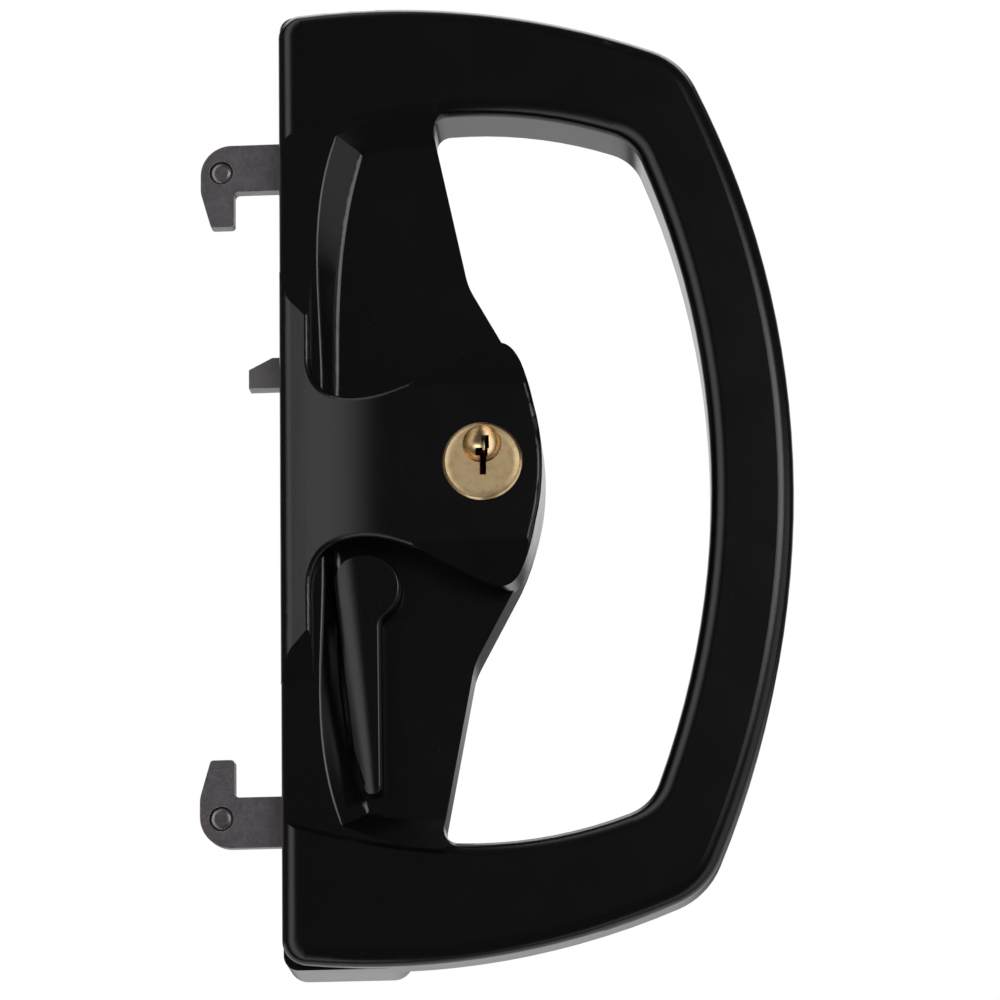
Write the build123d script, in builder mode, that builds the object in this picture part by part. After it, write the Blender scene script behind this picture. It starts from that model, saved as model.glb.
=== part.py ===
"""Sliding door lock: a D handle casting with twin swinging hooks, thumb lever, key cylinder and trigger.

X runs from the fixing line towards the grip, Z runs up the handle, and the front looks along -Y.
The door face is the plane Y = 0, so a height in this file is a distance in front of the door.
"""

import os
from math import cos, radians, sin, sqrt

from build123d import *

# Handle outline, seen from the front
handle_height = 200.0
lock_edge_x = -11.0
handle_reach = 104.5
grip_width = 16.8
crown_x = 9.0
end_arc_radius = 158.0
grip_arc_radius = 196.0
shoulder_radius = 16.0
edge_corner_radius = 5.0

# D opening between the spine and the grip
opening_height = 151.8
opening_crown_x = 28.6
opening_end_radius = 88.0
opening_side_radius = 177.0
opening_corner_radius = 10.0
opening_root_radius = 3.0

# Spine edge beside the D opening: straight roots, a waist and a bulge round the cylinder
bulge_reach = 42.8
bulge_x, bulge_z = 37.6, 22.0
waist_x, waist_z = 28.0, 39.5
root_x, root_z = 17.8, 90.0
waist_radius = 14.0
bulge_radius = 12.0

# Heights above the door face
front_height = 24.5
grip_back_height = 6.6
rail_height = 23.5
pocket_height = 19.2
crown_height = 29.6
wall = 2.5
weld_depth = 0.5
cut_over = 1.0
channel_wall = 3.2
channel_front_height = 20.0
channel_draft = 2.0
front_round = 3.4
back_round = 2.0

# Deep mounting body behind the spine
body_end_z = 101.0
body_overhang = 1.0
body_end_width = 24.5
body_full_z = 72.0
body_inset = 0.8
body_draft = 3.0
body_corner_radius = 4.0

# Recessed pockets above and below the plateau, as rim and foot of their sloping left wall
pocket_rim = [(1.4, 72.0), (-2.6, 52.7), (-2.7, 40.0), (-2.4, 8.0)]
pocket_foot = [(6.0, 69.3), (1.7, 49.5), (0.3, 32.0), (0.0, 8.0)]
pocket_far_x = 48.0
pocket_root_x = 30.0
pocket_rim_top = 76.4
pocket_rim_round = 0.7
pocket_foot_round = 1.5
pocket_foot_top = 70.0
zone_line = [(-13.0, 69.8), (4.0, 74.6), (21.5, 77.3)]
zone_far = (48.0, 40.0)
zone_slope = 45.0

# Raised plateau round the cylinder, with S-shaped ends
plateau_half_height = 43.0
plateau_step_x = -4.3
plateau_edge_height = 24.6
plateau_flat_x = 14.0
valley_x, valley_z = 4.9, 14.6
ridge_x, ridge_z = 31.0, 24.4
boss_z = 12.0
plateau_round = 1.0
strip_slope = 27.0

# Back plate and its screws
plate_thickness = 1.5
plate_ledge = 1.1
plate_gap = 0.2
plate_screws = [(-5.5, 37.5), (25.0, 27.0), (25.0, -27.0), (-5.5, -37.5)]
plate_screw_radius = 1.5
plate_screw_head_radius = 2.7
plate_screw_length = 7.0
plate_boss_radius = 2.7
spigot_radius = 1.2
spigot_depth = 1.2
drive_slot_length = 2.6
drive_slot_width = 0.7
drive_slot_depth = 0.7

# Fixing posts for the bolts that come through the door
fixing_z = 92.5
pillar_radius = 4.5
pillar_spigot_radius = 3.0
pillar_spigot_length = 4.0
fixing_thread_radius = 2.1
fixing_thread_depth = 11.0
fixing_clearance_radius = 2.8

# Fits
running_gap = 0.05
seat_gap = 0.03
slot_gap = 0.15
layer_gap = 0.4
face_gap = 0.2

# Slides and hooks, one layer in front of the other
slide_low = 6.1
slide_thickness = 2.0
slide_corner = 0.8
bar_left, bar_right, bar_top = 2.9, 10.2, 58.0
upper_joint_low, upper_joint_high = 5.0, 12.0
left_leg_left, left_leg_right, left_leg_bottom = -7.8, 1.6, -26.0
lower_joint_low, lower_joint_high = -36.0, -31.0
right_foot_x, right_foot_top = 21.0, -18.0
right_leg_left, right_leg_right, right_leg_top = 11.0, 19.0, 4.5
notch_depth = 3.5
hook_thickness = 3.0
travel = 6.5
guide_z = 37.0
guide_radius = 1.6
guide_shoulder_radius = 3.0

# Hooks
pivot_x, pivot_z = 0.0, 50.0
pivot_radius = 2.5
pivot_shoulder_radius = 4.0
hook_hub_radius = 7.3
drive_angle = 30.0
drive_pin_radius = 1.5
drive_eye_radius = 3.4
hook_reach_x = -28.8
arm_root_x = -8.1
tip_round = 0.8
throat_round = 1.0
pin_shoulder = 0.3
insert_step = 0.6
insert_chamfer = 0.45
hook_top_z = 74.6
arm_low_z = 64.3
tip_low_z = 56.6
tip_width = 4.9
nose_radius = 6.5
throat_x = -21.7
insert_x, insert_z = -24.4, 68.6
insert_radius = 2.5
window_side_gap = 0.3
window_end_gap = 0.4
swing_top_z = 85.3

# Thumb lever
lever_x, lever_z = 6.5, -24.0
lever_throw = 36.0
lever_head_radius = 6.9
lever_right_x = 9.2
lever_tip_z = -66.0
lever_tip_radius = 1.9
lever_tip_x = 7.6
lever_low = 20.9
lever_thickness = 3.2
lever_hub_radius = 5.4
washer_radius = 4.8
lever_left = [(-0.4, -24.0), (0.3, -37.0), (2.0, -49.0), (6.0, -63.6)]
lever_sections = ((-16.0, -0.8, 5.4), (-67.0, 5.0, 8.6))
lever_drop = 1.7
lever_lean = 0.7
lever_neck_radius = 3.0
lever_round = 0.5
lever_socket = 3.5
washer_thickness = 0.4
spindle_radius = 4.0
spindle_square = 5.0

# Crank under the lever
crank_thickness = 3.0
crank_pin_radius = 1.6
crank_eye_radius = 2.9
crank_hub_radius = 6.2
crank_screw_radius = 1.5
crank_screw_head_radius = 3.6
crank_screw_head = 1.6
crank_screw_length = 6.0

# Trigger and its spring
trigger_bottom_z, trigger_top_z = 21.0, 27.5
trigger_reach = 7.5
trigger_thickness = 4.0
trigger_tail_x = 8.0
trigger_nose_z = 25.0
trigger_slope = 2.6
trigger_stop_length = 5.0
spring_pin_radius = 1.0
spring_pin_length = 2.5
spring_radius = 1.7
spring_wire = 0.5
spring_turns = 6
spring_length = 10.0
rib_thickness = 1.5
rib_gap = 0.4

# Key cylinder
cylinder_x = 30.8
plug_head_radius = 8.0
plug_proud = 0.7
plug_radius = 6.4
plug_head_thickness = 4.0
barrel_radius = 9.0
barrel_length = 15.1
chamber_width = 8.0
chamber_top = 14.0
chamber_cover = 0.6
pin_count = 4
pin_pitch = 2.6
pin_radius = 1.0
first_pin_height = 24.0
shear_gap = 0.1
clip_thickness = 1.0
clip_radius = 10.4
clip_right_x = 37.4
clip_groove = 0.6
clip_opening = 9.4
cover_width = 3.4
plug_bevel = 0.5
scoop_z = 3.5
scoop_radius = 4.2
scoop_rise = 1.5
keyway_end = 15.0
keyway_points = [
    (-0.2, 5.7),
    (-0.2, 3.3),
    (-1.45, 3.3),
    (-1.45, 1.6),
    (-0.55, 1.6),
    (-0.55, -2.9),
    (0.75, -2.9),
    (0.75, 1.4),
    (1.0, 1.4),
    (1.0, 3.1),
    (1.3, 3.1),
    (1.3, 5.7),
]
key_pin_z = 2.9
driver_pin_length = 3.2
cam_thickness = 2.2
cam_radius = 5.4
cam_pin_radius = 1.2
cam_screw_radius = 0.8
cam_screw_head_radius = 1.5
cam_screw_head = 1.0
cam_screw_length = 2.5

# Deadlock bolt pushed by the cam
deadlock_travel = 4.0
deadlock_height = 3.6
deadlock_tip_x = 20.5
deadlock_yoke = 6.5
yoke_rim = 2.0
guide_rim = 1.8
deadlock_guide_width = 4.0
notch_gap = 0.3

# Worked out from the sizes above
half_height = handle_height / 2
grip_reach = lock_edge_x + handle_reach
opening_reach = grip_reach - grip_width
ceiling = pocket_height - wall
slide_high = slide_low + slide_thickness
hook_low = slide_high + layer_gap
hook_high = hook_low + hook_thickness
crank_high = ceiling - layer_gap
crank_low = crank_high - crank_thickness
pin_end = slide_low - layer_gap
body_left = lock_edge_x - body_overhang
body_right = body_left + body_end_width
root_slope = (waist_x - root_x) / (root_z - waist_z)
body_full_x = waist_x - body_inset - (body_full_z - waist_z) * root_slope
drive_dx = travel * cos(radians(drive_angle))
drive_dz = travel * sin(radians(drive_angle))
crank_radius = travel / 2 / sin(radians(lever_throw / 2))
crank_dx = crank_radius * cos(radians(lever_throw / 2))
crank_dz = travel / 2
plug_front = crown_height + plug_proud
plug_head_low = plug_front - plug_head_thickness
barrel_front = plug_head_low - running_gap
barrel_back = barrel_front - barrel_length
cam_high = barrel_back - running_gap
cam_low = cam_high - cam_thickness
cam_throw = deadlock_travel / 2 / cos(radians(45))
shear_z = plug_radius + shear_gap / 2
bulge_rise = bulge_reach - bulge_x
bulge_arc_radius = (bulge_z**2 + bulge_rise**2) / (2 * bulge_rise)
boss_end = (bulge_reach - bulge_arc_radius + sqrt(bulge_arc_radius**2 - boss_z**2), boss_z)
clip_low = ceiling - clip_thickness - running_gap
chamber_points = [(cylinder_x, i * pin_pitch - first_pin_height) for i in range(pin_count)]
yoke_right = cylinder_x + deadlock_travel / 2 + deadlock_yoke / 2
yoke_top = cam_throw + cam_pin_radius + yoke_rim
guide_height = deadlock_height + 2 * guide_rim
lever_high = lever_low + lever_thickness
trigger_low = hook_low
trigger_high = trigger_low + trigger_thickness
trigger_middle_z = (trigger_bottom_z + trigger_top_z) / 2
cavity_left_x = body_left + wall + body_overhang
hook_window_low = arm_low_z - window_end_gap
hook_window_height = swing_top_z - hook_window_low
hook_window_z = hook_window_low + hook_window_height / 2
trigger_window_height = trigger_top_z - trigger_bottom_z + 3 * window_end_gap
rib_low = slide_high + layer_gap + 0.1
rib_offset = trigger_window_height / 2 + 2 * window_end_gap + rib_gap + rib_thickness / 2
rib_heights = (trigger_middle_z + rib_offset, trigger_middle_z - rib_offset)
rib_end_x = trigger_tail_x + spring_length
guide_points = ((lever_x, guide_z), (lever_x, -guide_z))
fixing_points = ((0, fixing_z), (0, -fixing_z))
pivot_points = ((pivot_x, pivot_z), (pivot_x, -pivot_z))
spigot_points = guide_points + pivot_points
window_centres = ((-(hook_low + hook_high) / 2, hook_window_z), (-(hook_low + hook_high) / 2, -hook_window_z))


def at(height):
    """Plane that faces the front at a height above the door: its x is X and its y is Z."""
    return Plane.XZ.offset(height)


def countersunk(x, z, length, gap):
    """Countersunk screw body that enters the back plate at x, z, or its hole if gap is added."""
    head = plate_screw_head_radius + gap
    shank = plate_screw_radius + gap
    with BuildPart() as screw:
        with BuildSketch(Plane.XY.offset(z)):
            with BuildLine():
                Polyline((x, 0), (x + head, 0), (x + shank, shank - head), (x + shank, -length), (x, -length), (x, 0))
            make_face()
        revolve(axis=Axis((x, 0, z), (0, 1, 0)))
    return screw.part


# Spine edge, closed to the left, as the D opening stops at it
with BuildSketch() as spine_outline:
    with BuildLine():
        edge = Polyline(
            (bulge_x, bulge_z), (waist_x, waist_z), (root_x, root_z), (3 * lock_edge_x, root_z), (3 * lock_edge_x, 0)
        )
        mirror(edge, about=Plane.XZ)
        ThreePointArc((bulge_x, bulge_z), (bulge_reach, 0), (bulge_x, -bulge_z))
    make_face()
    fillet([v for v in spine_outline.vertices() if abs(v.X - waist_x) < 0.01], waist_radius)
    fillet([v for v in spine_outline.vertices() if abs(v.X - bulge_x) < 0.01], bulge_radius)

# Handle outline with its D opening
with BuildSketch() as handle_outline:
    with Locations((crown_x, half_height - end_arc_radius)):
        Circle(end_arc_radius)
    with Locations((crown_x, end_arc_radius - half_height)):
        Circle(end_arc_radius, mode=Mode.INTERSECT)
    with Locations((grip_reach - grip_arc_radius, 0)):
        Circle(grip_arc_radius, mode=Mode.INTERSECT)
    with Locations((lock_edge_x, 0)):
        Rectangle(2 * grip_reach, 2 * handle_height, align=(Align.MIN, Align.CENTER), mode=Mode.INTERSECT)
    fillet(handle_outline.vertices().group_by(Axis.X)[0], edge_corner_radius)
    fillet(handle_outline.vertices().group_by(Axis.X)[-1], shoulder_radius)

with BuildSketch() as opening_outline:
    with Locations((opening_crown_x, opening_height / 2 - opening_end_radius)):
        Circle(opening_end_radius)
    with Locations((opening_crown_x, opening_end_radius - opening_height / 2)):
        Circle(opening_end_radius, mode=Mode.INTERSECT)
    with Locations((opening_reach - opening_side_radius, 0)):
        Circle(opening_side_radius, mode=Mode.INTERSECT)
    add(spine_outline.sketch, mode=Mode.SUBTRACT)
    opening_tips = opening_outline.vertices().filter_by(lambda v: abs(v.Y) > waist_z + waist_radius)
    fillet(opening_tips.filter_by(lambda v: v.X < opening_crown_x), opening_root_radius)
    opening_tips = opening_outline.vertices().filter_by(lambda v: v.X > 2 * opening_crown_x)
    fillet(opening_tips, opening_corner_radius)

# Rim of the deep body on the door, and the cavity inside its walls
with BuildSketch() as body_outline:
    with BuildLine():
        side_x = bulge_x - body_inset
        edge = Polyline(
            (side_x, bulge_z),
            (waist_x - body_inset, waist_z),
            (body_full_x, body_full_z),
            (body_right, body_end_z),
            (body_left, body_end_z),
            (body_left, 0),
        )
        mirror(edge, about=Plane.XZ)
        ThreePointArc((side_x, bulge_z), (bulge_reach - body_inset, 0), (side_x, -bulge_z))
    make_face()
    fillet([v for v in body_outline.vertices() if abs(v.X - waist_x + body_inset) < 0.01], waist_radius)
    fillet([v for v in body_outline.vertices() if abs(v.X - side_x) < 0.01], bulge_radius)
    fillet([v for v in body_outline.vertices() if abs(v.Y) > body_end_z - 0.01], body_corner_radius)

with BuildSketch() as cavity_outline:
    add(body_outline.sketch)
    offset(amount=-wall - body_overhang)

with BuildSketch() as cavity_room:
    add(cavity_outline.sketch)
    offset(amount=weld_depth)

with BuildSketch() as channel_zone:
    with Locations((crown_x, 0)):
        Rectangle(2 * grip_reach, 2 * handle_height, align=(Align.MIN, Align.CENTER))

with BuildSketch() as rebate_outline:
    add(cavity_outline.sketch)
    offset(amount=plate_ledge)

with BuildSketch() as plate_outline:
    add(cavity_outline.sketch)
    offset(amount=plate_ledge - plate_gap)

# Cutter for the upper pocket: a loft between its rim and its smaller foot
pocket_levels = (
    (rail_height + 0.01, pocket_rim, pocket_rim_top, (9.0, 74.9)),
    (pocket_height, pocket_foot, pocket_foot_top, (13.0, 70.1)),
)
with BuildPart() as pocket_cutter:
    for height, left_side, top_z, middle in pocket_levels:
        with BuildSketch(at(height)):
            with BuildLine():
                Spline(left_side)
                Line(left_side[-1], (pocket_far_x, left_side[-1][1]))
                Line((pocket_far_x, left_side[-1][1]), (pocket_root_x, top_z))
                ThreePointArc((pocket_root_x, top_z), middle, left_side[0])
            make_face()
    loft(ruled=True)
    foot = pocket_cutter.faces().sort_by(Axis.Y)[-1].edges()
    foot = foot.filter_by(lambda e: e.center().X < pocket_root_x - 5 and e.center().Z > pocket_foot[-1][1] + 1)
    fillet(foot, pocket_foot_round)

# Channel cored out of the back of the arms and the grip
with BuildSketch() as channel_outline:
    add(handle_outline.sketch)
    offset(amount=-channel_wall)
    with BuildSketch(mode=Mode.PRIVATE) as inner_side:
        add(opening_outline.sketch)
        offset(amount=channel_wall)
    add(inner_side.sketch, mode=Mode.SUBTRACT)
    with BuildSketch(mode=Mode.PRIVATE) as body_side:
        add(body_outline.sketch)
        offset(amount=channel_wall)
    add(body_side.sketch, mode=Mode.SUBTRACT)
    add(channel_zone.sketch, mode=Mode.INTERSECT)

# Sloping ends of the plateau's narrow strip
with BuildPart() as strip_end:
    with BuildSketch(Plane.YZ.offset(2 * lock_edge_x)):
        with BuildLine():
            Polyline(
                (-rail_height, plateau_half_height),
                (-rail_height, 2 * plateau_half_height),
                (-2 * rail_height, 2 * plateau_half_height),
                (-crown_height, plateau_half_height - strip_slope),
                (-rail_height, plateau_half_height),
            )
        make_face()
    extrude(amount=4 * bulge_reach)

# Plateau: its section runs up the handle, and its outline trims that to the S curves
with BuildPart() as plateau:
    with BuildSketch(Plane.XY.offset(-plateau_half_height)):
        with BuildLine():
            left_x = 2 * lock_edge_x
            Spline(
                (left_x, 1 - plateau_edge_height),
                (lock_edge_x, -plateau_edge_height),
                (plateau_flat_x, -crown_height),
                tangents=((1, -0.1), (1, 0)),
            )
            Polyline(
                (plateau_flat_x, -crown_height),
                (2 * bulge_reach, -crown_height),
                (2 * bulge_reach, -ceiling),
                (left_x, -ceiling),
                (left_x, 1 - plateau_edge_height),
            )
        make_face()
    extrude(amount=2 * plateau_half_height)
    with BuildSketch(at(ceiling)):
        with BuildLine():
            edge = Polyline(
                (lock_edge_x, 0),
                (lock_edge_x, plateau_half_height),
                (plateau_step_x, plateau_half_height),
                (plateau_step_x, ridge_z),
            )
            curve = Spline(
                (plateau_step_x, ridge_z),
                (valley_x, valley_z),
                (ridge_x, ridge_z),
                boss_end,
                tangents=((0, -1), (0.2, -1)),
            )
            mirror([edge, curve], about=Plane.XZ)
            ThreePointArc(boss_end, (bulge_reach, 0), (boss_end[0], -boss_end[1]))
        make_face()
    extrude(amount=crown_height, mode=Mode.INTERSECT)
    rims = plateau.faces().filter_by(lambda f: f.normal_at().Y < -0.7).edges()
    rims = rims.filter_by(lambda e: abs(e.center().X - plateau_flat_x) > 0.1)
    rims = rims.filter_by(lambda e: abs(e.center().Z) < plateau_half_height - 0.1)
    fillet(rims.sort_by(Axis.X)[0], front_round)
    rims = plateau.faces().filter_by(lambda f: f.normal_at().Y < -0.7).edges()
    rims = rims.filter_by(lambda e: abs(e.center().X - plateau_flat_x) > 0.1 and e.center().X > plateau_step_x - 1)
    rims = rims.filter_by(lambda e: abs(e.center().Z) < plateau_half_height - 0.1)
    fillet(rims, plateau_round)
    add(strip_end.part, mode=Mode.SUBTRACT)
    mirror(strip_end.part, about=Plane.XY, mode=Mode.SUBTRACT)

# Shallow front recess of the spine, between the two arms
with BuildPart() as spine_recess:
    with BuildSketch(at(rail_height)):
        with BuildLine():
            side = Polyline((zone_line[0][0], 0), zone_line[0])
            arm = ThreePointArc(zone_line[0], zone_line[1], zone_line[2])
            rest = Polyline(zone_line[2], zone_far, (zone_far[0], 0))
            mirror([side, arm, rest], about=Plane.XZ)
        make_face()
    extrude(amount=front_height - rail_height + weld_depth, taper=-zone_slope)

# Handle casting: slab with its D opening and rounded rims
with BuildPart() as handle_casting:
    with BuildSketch(at(grip_back_height)):
        add(handle_outline.sketch)
        add(opening_outline.sketch, mode=Mode.SUBTRACT)
    extrude(amount=front_height - grip_back_height)
    fillet(handle_casting.edges().group_by(Axis.Y)[0], front_round)
    fillet(handle_casting.edges().group_by(Axis.Y)[-1], back_round)
    with BuildSketch(at(grip_back_height)):
        add(channel_outline.sketch)
    extrude(amount=channel_front_height - grip_back_height, taper=channel_draft, mode=Mode.SUBTRACT)
    # Deep body on the door, with drafted walls
    with BuildSketch(Plane.XZ):
        add(body_outline.sketch)
    extrude(amount=pocket_height - weld_depth, taper=body_draft)
    # Front relief
    add(spine_recess.part, mode=Mode.SUBTRACT)
    add(pocket_cutter.part, mode=Mode.SUBTRACT)
    mirror(pocket_cutter.part, about=Plane.XY, mode=Mode.SUBTRACT)
    rims = handle_casting.edges().filter_by(lambda e: abs(e.center().Y + rail_height) < 0.02)
    rims = rims.filter_by(GeomType.BSPLINE).filter_by(lambda e: e.length > plateau_half_height)
    fillet(rims, pocket_rim_round)
    add(plateau.part)
    # Cavity and the rebate of the back plate
    with BuildSketch(Plane.XZ):
        add(cavity_outline.sketch)
    extrude(amount=ceiling, mode=Mode.SUBTRACT)
    with BuildSketch(Plane.XZ):
        add(rebate_outline.sketch)
    extrude(amount=plate_thickness, mode=Mode.SUBTRACT)
    # Bosses for the plate screws
    with BuildSketch(at(plate_thickness)):
        with Locations(plate_screws):
            Circle(plate_boss_radius)
        add(cavity_room.sketch, mode=Mode.INTERSECT)
    extrude(amount=ceiling - plate_thickness + weld_depth)
    # Ribs that guide the trigger and hold its spring
    with BuildSketch(at(rib_low)):
        for rib_z in rib_heights:
            with Locations((cavity_left_x - weld_depth, rib_z)):
                Rectangle(rib_end_x - cavity_left_x + weld_depth, rib_thickness, align=(Align.MIN, Align.CENTER))
        with Locations((trigger_tail_x + spring_length, trigger_middle_z)):
            Rectangle(rib_thickness, rib_heights[0] - rib_heights[1], align=(Align.MIN, Align.CENTER))
    extrude(amount=ceiling - rib_low + weld_depth)
    # Windows in the lock edge for the hooks and the trigger
    with BuildSketch(Plane.YZ.offset(body_left - cut_over)):
        with Locations(window_centres):
            Rectangle(hook_thickness + 2 * window_side_gap, hook_window_height)
        with Locations((-(trigger_low + trigger_high) / 2, trigger_middle_z)):
            Rectangle(trigger_thickness + 2 * window_side_gap, trigger_window_height)
    extrude(amount=cavity_left_x - body_left + 1.5 * cut_over, mode=Mode.SUBTRACT)
    # Seats of the fixing pillars and hook pivots, and holes for the plate screws
    with BuildSketch(at(ceiling)):
        with Locations(fixing_points):
            Circle(pillar_spigot_radius + running_gap)
    extrude(amount=pillar_spigot_length + seat_gap, mode=Mode.SUBTRACT)
    with BuildSketch(at(plate_thickness)):
        with Locations(plate_screws):
            Circle(plate_screw_radius + running_gap)
    extrude(amount=plate_screw_length - plate_thickness, mode=Mode.SUBTRACT)
    with BuildSketch(at(ceiling)):
        with Locations(pivot_points):
            Circle(spigot_radius + running_gap)
    extrude(amount=spigot_depth, mode=Mode.SUBTRACT)
    # Bore for the lever spindle
    with BuildSketch(at(ceiling - cut_over)):
        with Locations((lever_x, lever_z)):
            Circle(spindle_radius + running_gap)
    extrude(amount=pocket_height, mode=Mode.SUBTRACT)
    # Cylinder opening, barrel seat and room for its pin chambers
    with BuildSketch(at(barrel_front - cut_over)):
        with Locations((cylinder_x, 0)):
            Circle(plug_head_radius + face_gap)
    extrude(amount=pocket_height, mode=Mode.SUBTRACT)
    with BuildSketch(at(barrel_back - cut_over)):
        with Locations((cylinder_x, 0)):
            Circle(barrel_radius + running_gap)
            Rectangle(chamber_width + 2 * slot_gap, chamber_top + slot_gap, align=(Align.CENTER, Align.MIN))
    extrude(amount=barrel_length + cut_over, mode=Mode.SUBTRACT)

# Back plate with clearance for the door bolts and countersinks for its screws
with BuildPart() as back_plate:
    with BuildSketch(Plane.XZ):
        add(plate_outline.sketch)
    extrude(amount=plate_thickness)
    with BuildSketch(Plane.XZ):
        with Locations(fixing_points):
            Circle(fixing_clearance_radius)
        with Locations(spigot_points):
            Circle(spigot_radius + running_gap)
    extrude(amount=plate_thickness, mode=Mode.SUBTRACT)
    for x, z in plate_screws:
        add(countersunk(x, z, 2 * plate_thickness, running_gap), mode=Mode.SUBTRACT)

# Threaded pillars for the bolts that come through the door
with BuildPart() as fixing_pillars:
    with BuildSketch(at(plate_thickness)):
        with Locations(fixing_points):
            Circle(pillar_radius)
    extrude(amount=ceiling - plate_thickness)
    with BuildSketch(at(ceiling)):
        with Locations(fixing_points):
            Circle(pillar_spigot_radius)
    extrude(amount=pillar_spigot_length)
    with BuildSketch(at(plate_thickness)):
        with Locations(fixing_points):
            Circle(fixing_thread_radius)
    extrude(amount=fixing_thread_depth, mode=Mode.SUBTRACT)

# Countersunk screws of the back plate
with BuildPart() as back_plate_screws:
    for x, z in plate_screws:
        add(countersunk(x, z, plate_screw_length, 0))
    with BuildSketch(Plane.XZ):
        with Locations(plate_screws):
            Rectangle(drive_slot_length, drive_slot_width)
            Rectangle(drive_slot_width, drive_slot_length)
    extrude(amount=drive_slot_depth, mode=Mode.SUBTRACT)

# Upper hook: arm and head, hulled hub and drive eye, with its holes
with BuildPart() as upper_hook:
    with BuildSketch(at(hook_low)) as hook_face:
        with BuildLine():
            Polyline(
                (arm_root_x, hook_top_z),
                (hook_reach_x, hook_top_z),
                (hook_reach_x, arm_low_z),
                (throat_x - tip_width, tip_low_z),
                (throat_x, tip_low_z),
                (throat_x, arm_low_z),
                (arm_root_x, arm_low_z),
                (arm_root_x, hook_top_z),
            )
        make_face()
        nose = hook_face.vertices().filter_by(lambda v: v.X < hook_reach_x + 0.1)
        fillet(nose.sort_by(Axis.Y)[-1], nose_radius)
        nose = hook_face.vertices().filter_by(lambda v: v.X < hook_reach_x + 0.1)
        fillet(nose.sort_by(Axis.Y)[0], nose_radius)
        fillet(hook_face.vertices().filter_by(lambda v: v.Y < tip_low_z + 0.1), tip_round)
        throat = hook_face.vertices().filter_by(lambda v: abs(v.X - throat_x) < 0.1)
        fillet(throat.sort_by(Axis.Y)[-1], throat_round)
        with BuildSketch() as hub_face:
            with Locations((pivot_x, pivot_z)):
                Circle(hook_hub_radius)
            with Locations((pivot_x + drive_dx, pivot_z + drive_dz)):
                Circle(drive_eye_radius)
            with Locations((arm_root_x, (hook_top_z + arm_low_z) / 2)):
                Rectangle(0.2, hook_top_z - arm_low_z)
            make_hull()
        add(hub_face.sketch)
        with Locations((pivot_x, pivot_z)):
            Circle(pivot_radius + running_gap, mode=Mode.SUBTRACT)
        with Locations((pivot_x + drive_dx, pivot_z + drive_dz)):
            Circle(drive_pin_radius, mode=Mode.SUBTRACT)
        with Locations((insert_x, insert_z)):
            Circle(insert_radius - insert_step, mode=Mode.SUBTRACT)
    extrude(amount=hook_thickness)
    with BuildSketch(at(hook_low + insert_step)):
        with Locations((insert_x, insert_z)):
            Circle(insert_radius)
    extrude(amount=hook_thickness, mode=Mode.SUBTRACT)

# Hardened insert, stepped so that it can't push through the hook
with BuildPart() as upper_hook_insert:
    with BuildSketch(at(hook_low)):
        with Locations((insert_x, insert_z)):
            Circle(insert_radius - insert_step - seat_gap)
    extrude(amount=insert_step)
    with BuildSketch(at(hook_low + insert_step)):
        with Locations((insert_x, insert_z)):
            Circle(insert_radius - seat_gap)
    extrude(amount=hook_thickness - insert_step)
    chamfer(upper_hook_insert.edges().group_by(Axis.Y)[0], insert_chamfer)

# Drive pin riveted in the hook, with a shoulder on the slide's side
with BuildPart() as upper_drive_pin:
    with BuildSketch(at(pin_end)):
        with Locations((pivot_x + drive_dx, pivot_z + drive_dz)):
            Circle(drive_pin_radius - seat_gap)
    extrude(amount=hook_high - pin_end)
    with BuildSketch(at(hook_low - pin_shoulder)):
        with Locations((pivot_x + drive_dx, pivot_z + drive_dz)):
            Circle(drive_pin_radius + drive_pin_radius / 2)
    extrude(amount=pin_shoulder)

with BuildPart() as lower_hook:
    mirror(upper_hook.part, about=Plane.XY)

with BuildPart() as lower_hook_insert:
    mirror(upper_hook_insert.part, about=Plane.XY)

with BuildPart() as lower_drive_pin:
    mirror(upper_drive_pin.part, about=Plane.XY)

# Pivots of the hooks: a shoulder under the case front, a pin down to the back plate and two spigots
with BuildPart() as hook_pivots:
    for low, high, radius in (
        (plate_thickness - spigot_depth, ceiling + spigot_depth - layer_gap / 2, spigot_radius),
        (plate_thickness, hook_high + layer_gap / 2, pivot_radius),
        (hook_high + layer_gap / 2, ceiling, pivot_shoulder_radius),
    ):
        with BuildSketch(at(low)):
            with Locations(pivot_points):
                Circle(radius)
        extrude(amount=high - low)

# Guide pins of the slides, riveted in the back plate
with BuildPart() as slide_guide_pins:
    for low, high, radius in (
        (plate_thickness - spigot_depth, plate_thickness, spigot_radius),
        (plate_thickness, slide_low - layer_gap / 2, guide_shoulder_radius),
        (slide_low - layer_gap / 2, slide_high + layer_gap, guide_radius),
    ):
        with BuildSketch(at(low)):
            with Locations(guide_points):
                Circle(radius)
        extrude(amount=high - low)

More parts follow.
